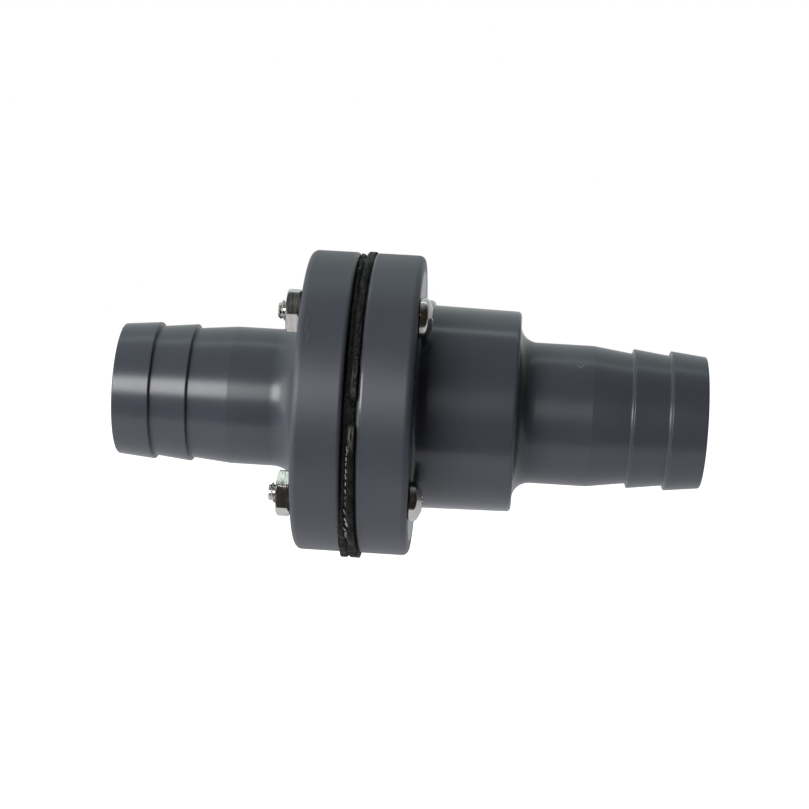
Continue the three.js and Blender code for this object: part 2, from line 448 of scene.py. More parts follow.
def mount(thing: bpy.types.Object, body: Body, *nodes: str) -> bpy.types.Object:
    """Rides a piece on a body, in place of the frame's own nodes.

    Args:
        thing: The piece.
        body: The body that it moves with.
        nodes: The nodes that it stands in for.

    Returns:
        The piece.
    """
    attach(thing, body.value)
    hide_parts(*nodes)
    return thing


def add_share(thing: bpy.types.Object, name: str, share: Callable[[Vector], float]) -> None:
    """Writes a number from 0 to 1 on every vertex, for a material to read.

    Args:
        thing: The piece.
        name: The attribute's name.
        share: Gives the number at a place in millimetres.
    """
    layer = thing.data.attributes.new(name, "FLOAT", "POINT")
    values = [share(vertex.co / MM) for vertex in thing.data.vertices]
    layer.data.foreach_set("value", values)


# ---------------------------------------------------------------- finishes


class Graph:
    """A material's nodes, built up one call at a time."""

    def __init__(self, name: str) -> None:
        """Starts an empty material with a shader and an output.

        Args:
            name: The material's name.
        """
        self.material = bpy.data.materials.new(name)
        self.material.use_nodes = True
        self.tree = self.material.node_tree
        self.tree.nodes.clear()
        self.shader = self.node("ShaderNodeBsdfPrincipled")
        output = self.node("ShaderNodeOutputMaterial")
        self.join(self.shader.outputs["BSDF"], output.inputs["Surface"])
        self.place = self.node("ShaderNodeTexCoord").outputs["Object"]

    def node(self, kind: str, **settings: object) -> bpy.types.Node:
        """Adds a node.

        Args:
            kind: The node's type.
            settings: Its properties.

        Returns:
            The node.
        """
        made = self.tree.nodes.new(kind)
        for name, value in settings.items():
            setattr(made, name, value)
        return made

    def join(self, source: object, target: Socket) -> None:
        """Feeds a socket.

        Args:
            source: Another socket, or a plain value.
            target: The socket that is fed.
        """
        if isinstance(source, Socket):
            self.tree.links.new(source, target)
        else:
            target.default_value = source

    def math(self, operation: str, first: object, second: object = 0.0, clamp: bool = False) -> Socket:
        """Works out one sum of two numbers.

        Args:
            operation: The sum's name.
            first: The first number.
            second: The second number.
            clamp: Whether the answer is held between 0 and 1.

        Returns:
            The answer.
        """
        made = self.node("ShaderNodeMath", operation=operation, use_clamp=clamp)
        self.join(first, made.inputs[0])
        self.join(second, made.inputs[1])
        return made.outputs[0]

    def product(self, first: object, second: object) -> Socket:
        """Two numbers multiplied."""
        return self.math("MULTIPLY", first, second)

    def vector(self, operation: str, first: object, second: object = (0.0, 0.0, 0.0)) -> Socket:
        """Works out one sum of two vectors.

        Args:
            operation: The sum's name.
            first: The first vector.
            second: The second vector.

        Returns:
            The answer, which is a number for a length, a distance or a dot product.
        """
        made = self.node("ShaderNodeVectorMath", operation=operation)
        self.join(first, made.inputs[0])
        self.join(second, made.inputs[1])
        return made.outputs["Value" if operation in ("LENGTH", "DOT_PRODUCT", "DISTANCE") else "Vector"]

    def noise(self, place: object, scale: float, detail: float = 3, roughness: float = 0.5) -> Socket:
        """Makes noise.

        Args:
            place: Where it is read.
            scale: How many features there are to the metre.
            detail: How many finer layers are laid over the first.
            roughness: How strong each finer layer is.

        Returns:
            A number from 0 to 1.
        """
        made = self.node("ShaderNodeTexNoise")
        self.join(place, made.inputs["Vector"])
        made.inputs["Scale"].default_value = scale
        made.inputs["Detail"].default_value = detail
        made.inputs["Roughness"].default_value = roughness
        return made.outputs["Fac"]

    def spread(
        self, value: object, low: float, high: float, to_low: object = 0.0, to_high: object = 1.0,
    ) -> Socket:
        """Maps a number smoothly from one range to another, and holds it there.

        Args:
            value: The number.
            low: Where it starts to rise.
            high: Where it stops.
            to_low: The answer at the start.
            to_high: The answer at the stop.

        Returns:
            The answer.
        """
        made = self.node("ShaderNodeMapRange", interpolation_type="SMOOTHSTEP")
        for socket, given in zip(made.inputs, (value, low, high, to_low, to_high)):
            self.join(given, socket)
        return made.outputs[0]

    def blend(self, share: object, first: object, second: object) -> Socket:
        """Mixes two colours.

        Args:
            share: How much of the second there is, from 0 to 1.
            first: The first colour.
            second: The second colour.

        Returns:
            The mixture.
        """
        made = self.node("ShaderNodeMix", data_type="RGBA")
        self.join(share, made.inputs[0])
        for source, target in ((first, made.inputs[6]), (second, made.inputs[7])):
            self.join((*source, 1.0) if isinstance(source, tuple) else source, target)
        return made.outputs[2]

    def bump(self, height: object, depth: float, under: object = None) -> Socket:
        """Bends the normal by a height.

        Args:
            height: The height, from 0 to 1.
            depth: The height's real depth in millimetres.
            under: A normal that this bump is laid over.

        Returns:
            The new normal.
        """
        made = self.node("ShaderNodeBump")
        made.inputs["Distance"].default_value = depth * MM
        self.join(height, made.inputs["Height"])
        if under is not None:
            self.join(under, made.inputs["Normal"])
        return made.outputs["Normal"]

    def radius(self) -> Socket:
        """The distance from the flow axis."""
        across = self.vector("MULTIPLY", self.place, (0.0, 1.0, 1.0))
        return self.vector("LENGTH", across)

    def along(self) -> Socket:
        """Finds the distance along the flow axis.

        Returns:
            The distance, in metres.
        """
        split = self.node("ShaderNodeSeparateXYZ")
        self.join(self.place, split.inputs[0])
        return split.outputs[0]

    def attribute(self, name: str) -> Socket:
        """A number written on the piece's vertices."""
        return self.node("ShaderNodeAttribute", attribute_name=name).outputs["Fac"]

    def pale_line(self, start: Sequence[float], end: Sequence[float], width: float) -> Socket:
        """A thin straight pale line, for a scratch and for a painted highlight on an edge.

        Args:
            start: One end, in millimetres.
            end: The other end.
            width: How wide the scratch is, in millimetres.

        Returns:
            1 on the line and 0 away from it.
        """
        first, last = Vector(start) * MM, Vector(end) * MM
        line = last - first
        offset = self.vector("SUBTRACT", self.place, tuple(first))
        along = self.vector("DOT_PRODUCT", offset, tuple(line))
        share = self.math("DIVIDE", along, line.length_squared, clamp=True)
        scale = self.node("ShaderNodeVectorMath", operation="SCALE")
        self.join(tuple(line), scale.inputs[0])
        self.join(share, scale.inputs["Scale"])
        gap = self.vector("DISTANCE", offset, scale.outputs["Vector"])
        return self.spread(gap, width * MM / 2, width * MM, 1.0, 0.0)


@dataclass(frozen=True)
class PaleLine:
    """One straight pale mark on a surface, from one place in millimetres to another. Most are scratches; the
    ones on the flanges' joint edges are painted highlights.
    """

    start: tuple[float, float, float]
    end: tuple[float, float, float]
    width: float
    strength: float = 1.0


@dataclass(frozen=True)
class PvcFinish:
    """Dark grey rigid PVC, turned to a satin, with faint lathe lines, scuffs, rubbed edges and a painted
    highlight on the flange's joint edge.
    """

    name: str
    colour: Colour = (0.051, 0.0555, 0.069)
    pale: Colour = (0.16, 0.165, 0.17)
    gloss: float = 0.30
    barb_gloss: float = 0.295
    barb_ends: float = 18.0
    rim_gloss: float = 0.49
    rim_starts: float = 33.0
    joint: float = 0.0
    joint_gloss: float = 0.17
    grain: float = 0.50
    mark_pitch: float = 0.22
    mark_depth: float = 0.003
    wave_depth: float = 0.06
    pore_depth: float = 0.002
    uneven: float = 0.018
    edge_rub: float = 0.30
    speck_strength: float = 0.22
    pale_lines: tuple[PaleLine, ...] = ()

    def build(self) -> bpy.types.Material:
        """Makes the material.

        Returns:
            The material.
        """
        graph = Graph(self.name)
        radius = graph.radius()
        wave = graph.noise(graph.place, 45, 2)
        marked = self._marks(graph)
        mottle = graph.spread(graph.noise(graph.place, 90, 4), 0.3, 0.7)
        tinted = graph.blend(mottle, self.colour, tuple(part * 1.10 for part in self.colour))
        graph.join(graph.blend(marked, tinted, self.pale), graph.shader.inputs["Base Color"])
        base_gloss = self._base_gloss(graph, radius)
        uneven = graph.spread(wave, 0.3, 0.7, -self.uneven, self.uneven)
        clean = graph.math("ADD", base_gloss, uneven)
        rough = graph.math("ADD", clean, graph.product(marked, 0.3), clamp=True)
        graph.join(rough, graph.shader.inputs["Roughness"])
        around = graph.vector("CROSS_PRODUCT", (1.0, 0.0, 0.0), graph.place)
        graph.join(graph.vector("NORMALIZE", around), graph.shader.inputs["Tangent"])
        graph.shader.inputs["Anisotropic"].default_value = self.grain
        graph.shader.inputs["Anisotropic Rotation"].default_value = 0.25
        normal = graph.bump(wave, self.wave_depth)
        normal = graph.bump(self._lathe_lines(graph, radius), self.mark_depth, normal)
        normal = graph.bump(graph.noise(graph.place, 2600, 3), self.pore_depth, normal)
        graph.join(normal, graph.shader.inputs["Normal"])
        graph.shader.inputs["IOR"].default_value = 1.53
        return graph.material

    def _base_gloss(self, graph: Graph, radius: Socket) -> Socket:
        """Works out the roughness of the barb, the body, the flange's rim and the edge at the joint.

        Args:
            graph: The material's nodes.
            radius: The distance from the flow axis.

        Returns:
            The roughness before wear.
        """
        barb, rim = self.barb_ends * MM, self.rim_starts * MM
        inner = graph.spread(radius, barb - 0.8 * MM, barb, self.barb_gloss, self.gloss)
        outer = graph.spread(radius, rim - 1 * MM, rim, inner, self.rim_gloss)
        from_joint = graph.math("ABSOLUTE", graph.math("SUBTRACT", graph.along(), self.joint * MM))
        return graph.spread(from_joint, 0.8 * MM, 1.3 * MM, self.joint_gloss, outer)

    def _lathe_lines(self, graph: Graph, radius: Socket) -> Socket:
        """Makes the fine lines that run round the piece, as a tool leaves them.

        Args:
            graph: The material's nodes.
            radius: The distance from the flow axis.

        Returns:
            The lines' height, from 0 to 1.
        """
        rings = graph.node("ShaderNodeTexNoise", noise_dimensions="1D")
        graph.join(graph.math("ADD", radius, graph.along()), rings.inputs["W"])
        rings.inputs["Scale"].default_value = 1 / (self.mark_pitch * MM)
        rings.inputs["Detail"].default_value = 2
        return rings.outputs["Fac"]

    def _marks(self, graph: Graph) -> Socket:
        """Finds where the surface is scuffed, nicked or rubbed pale, and where a pale line paints a
        highlight on the flange's joint edge.

        Args:
            graph: The material's nodes.

        Returns:
            How pale it is, from 0 to 1.
        """
        broken = graph.spread(graph.noise(graph.place, 700, 4), 0.5, 0.64)
        worn = graph.product(graph.product(graph.attribute("edge_wear"), broken), self.edge_rub)
        specks = graph.node("ShaderNodeTexVoronoi")
        graph.join(graph.place, specks.inputs["Vector"])
        specks.inputs["Scale"].default_value = 170
        speck = graph.spread(specks.outputs["Distance"], 0.018, 0.03, 1.0, 0.0)
        marked = graph.math("MAXIMUM", worn, graph.product(speck, self.speck_strength))
        # Each line is drawn pale; the ones on the flanges' joint edges are painted highlights.
        for pale_line in self.pale_lines:
            line = graph.pale_line(pale_line.start, pale_line.end, pale_line.width)
            marked = graph.math("MAXIMUM", marked, graph.product(line, pale_line.strength))
        return marked


@dataclass(frozen=True)
class RubberFinish:
    """Black cloth-inserted sheet rubber: cloth print on its faces, torn grain on its cut edge, and pale
    streaks on the front of that edge that are partly dust and partly a painted sheen.
    """

    name: str = "sheet_rubber"
    colour: Colour = (0.0035, 0.0035, 0.004)
    # Pale colour for dust, crumbs and bloom, and for a painted sheen on the front of the cut edge.
    dust_and_sheen_colour: Colour = (0.120, 0.112, 0.102)
    edge_starts: float = 34.2
    weave_pitch: float = 0.9
    weave_depth: float = 0.05
    cloth_x: float = 57.3
    shine: float = 0.13
    lump_depth: float = 0.30
    torn_depth: float = 0.24
    grain_depth: float = 0.03

    def build(self) -> bpy.types.Material:
        """Makes the material.

        Returns:
            The material.
        """
        graph = Graph(self.name)
        edge = graph.spread(graph.radius(), (self.edge_starts - 0.6) * MM, self.edge_starts * MM)
        torn = graph.noise(graph.vector("MULTIPLY", graph.place, (1.0, 0.35, 0.35)), 1900, 6, 0.7)
        lumps = graph.noise(graph.place, 620, 5, 0.6)
        fibres = graph.noise(graph.vector("MULTIPLY", graph.place, (1.0, 0.16, 0.16)), 3200, 4, 0.6)
        crumbs = graph.spread(graph.noise(graph.place, 2400, 3), 0.60, 0.68)
        # Pale streaks on the front of the edge: partly dust, partly a painted sheen where the lamp lights
        # the ridge.
        dust_and_sheen = graph.product(graph.attribute("sheen_and_dust_share"), graph.spread(fibres, 0.40, 0.62))
        outlet_side = graph.spread(graph.along(), self.cloth_x * MM, (self.cloth_x + 0.5) * MM)
        crumbs = graph.product(graph.product(crumbs, outlet_side), 0.55)
        dust_and_sheen = graph.math("MAXIMUM", dust_and_sheen, crumbs)
        dust_and_sheen = graph.product(dust_and_sheen, edge)
        bloom = graph.product(graph.spread(graph.noise(graph.place, 130, 4), 0.4, 0.75), 0.02)
        pale = graph.math("MAXIMUM", dust_and_sheen, bloom)
        graph.join(graph.blend(pale, self.colour, self.dust_and_sheen_colour), graph.shader.inputs["Base Color"])
        polish = graph.spread(graph.noise(graph.place, 160, 3), 0.4, 0.62, 0.40, 0.68)
        graph.join(polish, graph.shader.inputs["Roughness"])
        graph.shader.inputs["Specular IOR Level"].default_value = self.shine
        weave = self._cloth_print(graph)
        flat = graph.math("SUBTRACT", 1.0, edge)
        normal = graph.bump(graph.product(weave, flat), self.weave_depth)
        normal = graph.bump(graph.product(lumps, edge), self.lump_depth, normal)
        normal = graph.bump(graph.product(torn, edge), self.torn_depth, normal)
        normal = graph.bump(torn, self.grain_depth, normal)
        graph.join(normal, graph.shader.inputs["Normal"])
        return graph.material

    def _cloth_print(self, graph: Graph) -> Socket:
        """Makes the print of the moulding cloth on the sheet's flat faces.

        Args:
            graph: The material's nodes.

        Returns:
            The print's height, from -1 to 1.
        """
        split = graph.node("ShaderNodeSeparateXYZ")
        graph.join(graph.place, split.inputs[0])
        turns = math.tau / (self.weave_pitch * MM)
        ribs = [
            graph.math("SINE", graph.product(split.outputs[axis], turns))
            for axis in (1, 2)
        ]
        return graph.product(ribs[0], ribs[1])


@dataclass(frozen=True)
class ThreadFinish:
    """Undyed nylon: the cut ends of the cloth inside the rubber sheet."""

    name: str = "nylon_thread"
    colour: Colour = (0.50, 0.50, 0.48)
    grey: Colour = (0.14, 0.14, 0.14)

    def build(self) -> bpy.types.Material:
        """Makes the material.

        Returns:
            The material.
        """
        graph = Graph(self.name)
        soil = graph.spread(graph.noise(graph.place, 900, 3), 0.35, 0.65)
        graph.join(graph.blend(soil, self.colour, self.grey), graph.shader.inputs["Base Color"])
        graph.shader.inputs["Roughness"].default_value = 0.6
        strands = graph.noise(graph.vector("MULTIPLY", graph.place, (1.0, 0.2, 0.2)), 9000, 2)
        graph.join(graph.bump(strands, 0.02), graph.shader.inputs["Normal"])
        return graph.material


@dataclass(frozen=True)
class SteelFinish:
    """Bright stainless steel with fine drawn or turned lines and a few dull spots."""

    name: str
    colour: Colour = (0.60, 0.585, 0.56)
    dull: Colour = (0.36, 0.34, 0.32)
    gloss: float = 0.14
    line_depth: float = 0.004
    line_scale: float = 5200
    grain: tuple[float, float, float] = (0.06, 1.0, 1.0)

    def build(self) -> bpy.types.Material:
        """Makes the material.

        Returns:
            The material.
        """
        graph = Graph(self.name)
        graph.shader.inputs["Metallic"].default_value = 1.0
        lines = graph.noise(graph.vector("MULTIPLY", graph.place, self.grain), self.line_scale, 4, 0.6)
        spots = graph.spread(graph.noise(graph.place, 520, 5, 0.6), 0.52, 0.70)
        cloud = graph.noise(graph.place, 260, 3)
        tarnish = graph.product(spots, 0.55)
        graph.join(graph.blend(tarnish, self.colour, self.dull), graph.shader.inputs["Base Color"])
        clean = graph.spread(cloud, 0.3, 0.7, self.gloss, self.gloss + 0.10)
        rough = graph.math("ADD", clean, graph.product(tarnish, 0.2))
        graph.join(rough, graph.shader.inputs["Roughness"])
        normal = graph.bump(cloud, 0.03)
        graph.join(graph.bump(lines, self.line_depth, normal), graph.shader.inputs["Normal"])
        return graph.material


@dataclass(frozen=True)
class FloorFinish:
    """A plain white floor that looks as white as the room, and lights the valve softly."""

    name: str = "white_floor"
    colour: Colour = (0.78, 0.75, 0.80)
    seen_glow: float = 0.95
    cast_glow: float = 0.25

    def build(self) -> bpy.types.Material:
        """Makes the material.

        Returns:
            The material.
        """
        graph = Graph(self.name)
        cast = graph.spread(graph.noise(graph.place, 3, 2), 0.2, 0.8)
        worn = tuple(part * 0.99 for part in self.colour)
        graph.join(graph.blend(cast, self.colour, worn), graph.shader.inputs["Base Color"])
        graph.shader.inputs["Roughness"].default_value = 0.9
        graph.shader.inputs["Emission Color"].default_value = (1.0, 1.0, 1.0, 1.0)
        seen = graph.node("ShaderNodeLightPath").outputs["Is Camera Ray"]
        glow = graph.math("MULTIPLY_ADD", seen, self.seen_glow - self.cast_glow)
        glow.node.inputs[2].default_value = self.cast_glow
        graph.join(glow, graph.shader.inputs["Emission Strength"])
        return graph.material


# ---------------------------------------------------------------- the two halves


@dataclass
class BarbedHalf:
    """What both halves share: the barb's teeth, the bore and the bolted flange."""

    bore: float = 13.2
    pitch: float = 8.85
    crest: float = 16.5
    valley: float = 15.6
    nose: float = 15.75
    nose_round: float = 0.4
    valley_round: float = 0.18
    rim_round: float = 1.6
    joint_round: float = 1.05
    bolt_circle: float = 29.8
    bolt_hole: float = 2.75

    def drilled(self, shape: bmesh.types.BMesh, from_x: float, to_x: float) -> bmesh.types.BMesh:
        """Drills the four bolt holes through a flange."""
        drills = bars(from_x - SPARE, to_x + SPARE, self.bolt_hole, bolt_places(self.bolt_circle), 48)
        return carved(shape, drills, Cut.REMOVE)

    def rubbed(self, place: Vector, corners: Sequence[Section], reach: float) -> float:
        """Finds how much an edge is rubbed.

        Args:
            place: The place on the half, in millimetres.
            corners: The edges, as (x, radius).
            reach: How far from an edge the rubbing is seen.

        Returns:
            1 on an edge, falling to 0 at the reach.
        """
        radius = math.hypot(place.y, place.z)
        near = min(math.hypot(place.x - x, radius - r) for x, r in corners)
        return max(0.0, 1 - near / reach)


def bolt_places(circle: float) -> list[Vector]:
    """The four bolts' places round the flow axis, in metres, in the order of their numbers."""
    angles = (math.radians(angle) for angle in (135, 225, 315, 45))
    return [Vector((0, circle * math.cos(angle), circle * math.sin(angle))) * MM for angle in angles]


@dataclass
class InletHalf(BarbedHalf):
    """The upstream half: hose barb, neck and the flange with the flat seat."""

    root: float = 16.5
    taper: float = 9.6
    neck: float = 7.0
    flange: float = 11.6
    crest_round: float = 0.3
    wear_reach: float = 0.35

    def __post_init__(self) -> None:
        """Takes the half's ends and its flange's radius from the frame."""
        low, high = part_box("inlet_body")
        self.start = low.x / MM
        self.joint = high.x / MM
        self.rim = high.z / MM

    def outline(self) -> Outline:
        """Draws the half's section.

        Returns:
            The closed section.
        """
        first, second = self.start + self.pitch, self.start + 2 * self.pitch
        lip, small, foot = self.nose_round, self.crest_round, self.valley_round
        face = self.joint - self.flange
        line = Outline().at(self.start, self.bore + lip)
        line.arc_to(self.start + lip, self.nose - lip, lip, 180, 95)
        for tooth in (first, second):
            line.arc_to(tooth - small, self.crest - small, small, 95, 0)
            line.arc_to(tooth + foot, self.valley + foot, foot, 180, 275)
        line.run(second + self.taper, self.root)
        line.arc_to(face - self.neck, self.root + self.neck, self.neck, 270, 360, 24)
        line.arc_to(face + self.rim_round, self.rim - self.rim_round, self.rim_round, 180, 90, 12)
        line.arc_to(self.joint - self.joint_round, self.rim - self.joint_round, self.joint_round, 90, 0, 8)
        line.arc_to(self.joint - lip, self.bore + lip, lip, 0, -90)
        return line.arc_to(self.start + lip, self.bore + lip, lip, 270, 180)

    def wear(self, place: Vector) -> float:
        """Finds how much the half's edges are rubbed.

        Args:
            place: The place on the half, in millimetres.

        Returns:
            A share from 0 to 1.
        """
        teeth = [(self.start + number * self.pitch, self.crest) for number in (1, 2)]
        face = (self.joint - self.flange + 0.4, self.rim - 0.4)
        corners = [(self.start, self.nose), *teeth, face, (self.joint, self.rim)]
        return self.rubbed(place, corners, self.wear_reach)

    def build(self, material: bpy.types.Material) -> None:
        """Makes the half and rides it on the housing.

        Args:
            material: Its finish.
        """
        shape = turned(self.outline(), 256)
        shape = self.drilled(shape, self.joint - self.flange, self.joint)
        half = mount(piece("inlet_half", shape, material), Body.HOUSING, "inlet_body")
        add_share(half, "edge_wear", self.wear)


@dataclass
class OutletHalf(BarbedHalf):
    """The downstream half: flange, hub with the flap's chamber, neck and hose barb."""

    root: float = 16.85
    crest: float = 16.65
    taper: float = 9.6
    neck: float = 4.2
    flange: float = 12.3
    hub_end: float = 95.05
    hub_at_flange: float = 24.4
    hub_at_end: float = 24.0
    hub_foot: float = 1.2
    hub_round: float = 1.0
    chamber: float = 21.0
    chamber_end: float = 90.9
    chamber_corner: float = 5.0
    crest_round: float = 0.2
    step_foot: float = 0.65
    seam_round: float = 1.2
    wear_reach: float = 0.3

    def __post_init__(self) -> None:
        """Takes the half's ends and its flange's radius from the frame."""
        low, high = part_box("outlet_body")
        self.joint = low.x / MM
        self.end = high.x / MM
        self.rim = high.z / MM

    def outline(self) -> Outline:
        """Draws the half's section.

        Returns:
            The closed section.
        """
        last = self.end - self.pitch + self.nose_round
        middle = last - self.pitch
        lip, small, foot = self.nose_round, self.crest_round, self.step_foot
        face, seam, outer = self.joint + self.flange, self.seam_round, self.rim_round
        corner = self.chamber_corner
        line = Outline().at(self.joint, self.chamber + lip)
        line.arc_to(self.joint + seam, self.rim - seam, seam, 180, 90, 8)
        line.arc_to(face - outer, self.rim - outer, outer, 90, 0, 12)
        line.arc_to(face + self.hub_foot, self.hub_at_flange + self.hub_foot, self.hub_foot, 180, 270, 10)
        end_round = self.hub_round
        line.arc_to(self.hub_end - end_round, self.hub_at_end - end_round, end_round, 90, 0, 10)
        line.arc_to(self.hub_end + self.neck, self.root + self.neck, self.neck, 180, 270, 18)
        line.run(middle - self.taper, self.root)
        for tooth in (middle, last):
            line.arc_to(tooth - foot, self.valley + foot, foot, 265, 360)
            line.arc_to(tooth + small, self.crest - small, small, 180, 85)
        line.arc_to(self.end - lip, self.nose - lip, lip, 85, 0)
        line.arc_to(self.end - lip, self.bore + lip, lip, 0, -90)
        line.run(self.chamber_end, self.bore)
        line.arc_to(self.chamber_end - corner, self.chamber - corner, corner, 0, 90, 16)
        return line.arc_to(self.joint + lip, self.chamber + lip, lip, -90, -180)

    def wear(self, place: Vector) -> float:
        """Finds how much the half's edges are rubbed.

        Args:
            place: The place on the half, in millimetres.

        Returns:
            A share from 0 to 1.
        """
        last = self.end - self.pitch + self.nose_round
        teeth = [(last, self.crest), (last - self.pitch, self.crest)]
        flange = [(self.joint + self.flange - 0.4, self.rim - 0.4), (self.joint, self.rim)]
        corners = [(self.end, self.nose), *teeth, (self.hub_end, self.hub_at_end), *flange]
        return self.rubbed(place, corners, self.wear_reach)

    def build(self, material: bpy.types.Material) -> None:
        """Makes the half and rides it on the housing.

        Args:
            material: Its finish.
        """
        shape = turned(self.outline(), 256)
        shape = self.drilled(shape, self.joint, self.joint + self.flange)
        half = mount(piece("outlet_half", shape, material), Body.HOUSING, "outlet_body")
        add_share(half, "edge_wear", self.wear)


# ---------------------------------------------------------------- the rubber sheet


@dataclass(frozen=True)
class ThreadEnd:
    """One cut thread: its depth below the axis, length, lean and shift, in millimetres."""

    depth: float
    length: float
    lean: float
    shift: float = 0.0


@dataclass
class RubberSheet:
    """The clamped sheet with its ragged cut edge, and the flap tongue cut in it."""

    flap_radius: float = 17.0
    slot_width: float = 1.2
    neck_half_width: float = 10.0
    tab_depth: float = 2.2
    bend_start: float = 1.6
    bend_end: float = 2.4
    screw_hole: float = 2.7
    bolt_hole: float = 2.75
    bolt_circle: float = 29.8
    cloth_line: float = 0.45
    joint_round: float = 1.2
    spread: float = 0.45
    slope_depth: float = 1.9
    hollow_depth: float = 2.0
    hollow_height: float = -1.0
    hollow_reach: float = 2.8
    ring_depth: float = 2.6
    deepest: float = 2.4
    steps_across: int = 40
    steps_round: int = 900
    thread_radius: float = 0.12
    thread_count: int = 110
    front_threads: tuple[ThreadEnd, ...] = (
        ThreadEnd(9.3, 0.9, 0.3, 0.10), ThreadEnd(10.5, 0.9, -0.2, 0.05), ThreadEnd(11.7, 0.8, 0.1),
        ThreadEnd(12.9, 0.8, -0.2), ThreadEnd(14.4, 0.6, 0.3, 0.05), ThreadEnd(15.8, 1.1, 0.2, -0.05),
        ThreadEnd(17.6, 1.0, 0.0), ThreadEnd(19.2, 0.7, 0.3), ThreadEnd(20.6, 1.0, -0.2),
        ThreadEnd(22.2, 0.8, 0.2), ThreadEnd(24.2, 1.2, 0.4, -0.15),
        ThreadEnd(26.1, 1.0, 0.8, 0.15), ThreadEnd(26.9, 0.8, -0.9, 0.25), ThreadEnd(28.2, 1.0, 0.9, -0.05),
        ThreadEnd(29.0, 0.9, -0.8, 0.05), ThreadEnd(30.0, 0.6, 0.6, -0.1),
    )

    def __post_init__(self) -> None:
        """Takes the sheet's place from the frame."""
        low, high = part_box("gasket_sheet")
        self.front, self.back = low.x / MM, high.x / MM
        self.radius = (high.z - low.z) / 2 / MM
        self.drop = -(high.z + low.z) / 2 / MM
        self.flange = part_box("inlet_body")[1].z / MM
        hinge = frame["joints"][0]
        self.hinge_x = hinge["pos_m"][0] / MM
        self.hinge_z = hinge["pos_m"][2] / MM

    def rim(self, across: float, angle: float) -> float:
        """How far the cut edge lies from the flow axis.

        Args:
            across: The place through the sheet, from 0 at the inlet side to 1.
            angle: The place round the axis, from +Y towards +Z.

        Returns:
            The radius in millimetres.
        """
        up = math.sin(angle)
        limit = -self.drop * up + math.sqrt(self.radius**2 - (self.drop * math.cos(angle)) ** 2)
        turn = Vector((math.cos(angle), up, 0.0))
        wander = noise.noise(turn * 6 + Vector((0.0, 0.0, 3.0)))
        lumpy = noise.noise(turn * 16 + Vector((0.0, 0.0, across * 2.5)))
        ragged = noise.noise(turn * 60 + Vector((0.0, 0.0, across * 9)))
        crumbly = noise.noise(turn * 110 + Vector((0.0, 0.0, across * 16)))
        line = self.cloth_line + 0.06 * wander + 0.03 * noise.noise(turn * 40)
        low, high = max(0.0, -up) ** 8, max(0.0, up) ** 6
        front = max(0.0, -math.cos(angle)) ** 1.5
        ends = max(low, high)
        groove = math.exp(-(((across - line) / 0.06) ** 2))
        inlet_side = math.exp(-((across / 0.12) ** 2))
        outlet_side = math.exp(-(((1 - across) / 0.07) ** 2))
        slope = front * self.slope_depth * (1 - smooth(across, 0.34, 0.66))
        from_hollow = (up * self.flange - self.hollow_height) / self.hollow_reach
        hollow = front * self.hollow_depth * math.exp(-(from_hollow**4))
        valley = (0.20 * low + 0.60 * high) * math.exp(-(((across - line) / 0.22) ** 2))
        sunk = 0.20 * (1 - low) + slope + hollow + valley + groove * (0.5 - 0.2 * front)
        sunk += (0.7 * inlet_side + 0.45 * outlet_side) * (1 - low)
        sunk += 0.10 * wander + 0.20 * lumpy + (0.15 + 0.08 * ends) * ragged + 0.12 * crumbly
        sunk += high * 1.0 * (0.5 - across)
        return limit - min(self.deepest, max(0.01, sunk))

    def swell(self, radius: float) -> float:
        """How much the squeezed edge spreads on each side of the joint at a radius."""
        return self.spread * smooth(radius, self.flange - self.joint_round, self.flange - 0.2)

    def spread_at(self, across: float, angle: float, radius: float) -> float:
        """Finds how far the squeezed rubber moves along the flow.

        Args:
            across: The place through the sheet, from 0 at the inlet side to 1.
            angle: The place round the axis, from +Y towards +Z.
            radius: The place's distance from the axis.

        Returns:
            The move, in millimetres.
        """
        tip = math.sin(angle) ** 8
        side = 2 * across - 1
        share = 0.45 + 0.55 * smooth(tip, 0.1, 0.5) if side > 0 else 1.0
        return side * self.swell(radius) * (1 + 0.5 * tip) * share

    def ring(self) -> bmesh.types.BMesh:
        """Shapes the clamped part of the sheet.

        Returns:
            The ring, with its slot and bolt holes.
        """
        thick = self.back - self.front
        foot = self.flange - self.ring_depth
        line = Outline().at(self.front, 8).run(self.front, foot)
        for i in range(self.steps_across + 1):
            line.at(self.front + thick * i / self.steps_across, self.flange)
        line.at(self.back, foot).run(self.back, 8)
        shape = turned(line, self.steps_round, 30)
        for vertex in shape.verts:
            radius = math.hypot(vertex.co.y, vertex.co.z)
            if radius < (self.flange - 0.3) * MM:
                continue
            across = (vertex.co.x / MM - self.front) / thick
            angle = math.atan2(vertex.co.z, vertex.co.y)
            wanted = self.rim(across, angle)
            vertex.co.x += self.spread_at(across, angle, wanted) * MM
            vertex.co.y *= wanted * MM / radius
            vertex.co.z *= wanted * MM / radius
        slot = self.tongue(self.slot_width, self.hinge_z + self.tab_depth, SPARE)
        shape = carved(shape, slot, Cut.REMOVE)
        places = bolt_places(self.bolt_circle)
        drills = bars(self.front - SPARE, self.back + SPARE, self.bolt_hole, places, 32)
        return carved(shape, drills, Cut.REMOVE)

    def tongue(self, grow: float, top: float, overrun: float = 0.0) -> bmesh.types.BMesh:
        """A slab with the flap's outline.

        Args:
            grow: How much wider than the flap it is all round, in millimetres.
            top: How high its neck reaches.
            overrun: How far it runs past each face of the sheet.

        Returns:
            The slab.
        """
        front, back = self.front - overrun, self.back + overrun
        half = self.neck_half_width + grow
        disc = bar(front, back, self.flap_radius + grow, 144)
        above = block((front - SPARE, -30, self.hinge_z), (back + SPARE, 30, 30))
        disc = carved(disc, above, Cut.REMOVE)
        return carved(disc, block((front, -half, 4), (back, half, top)), Cut.JOIN)

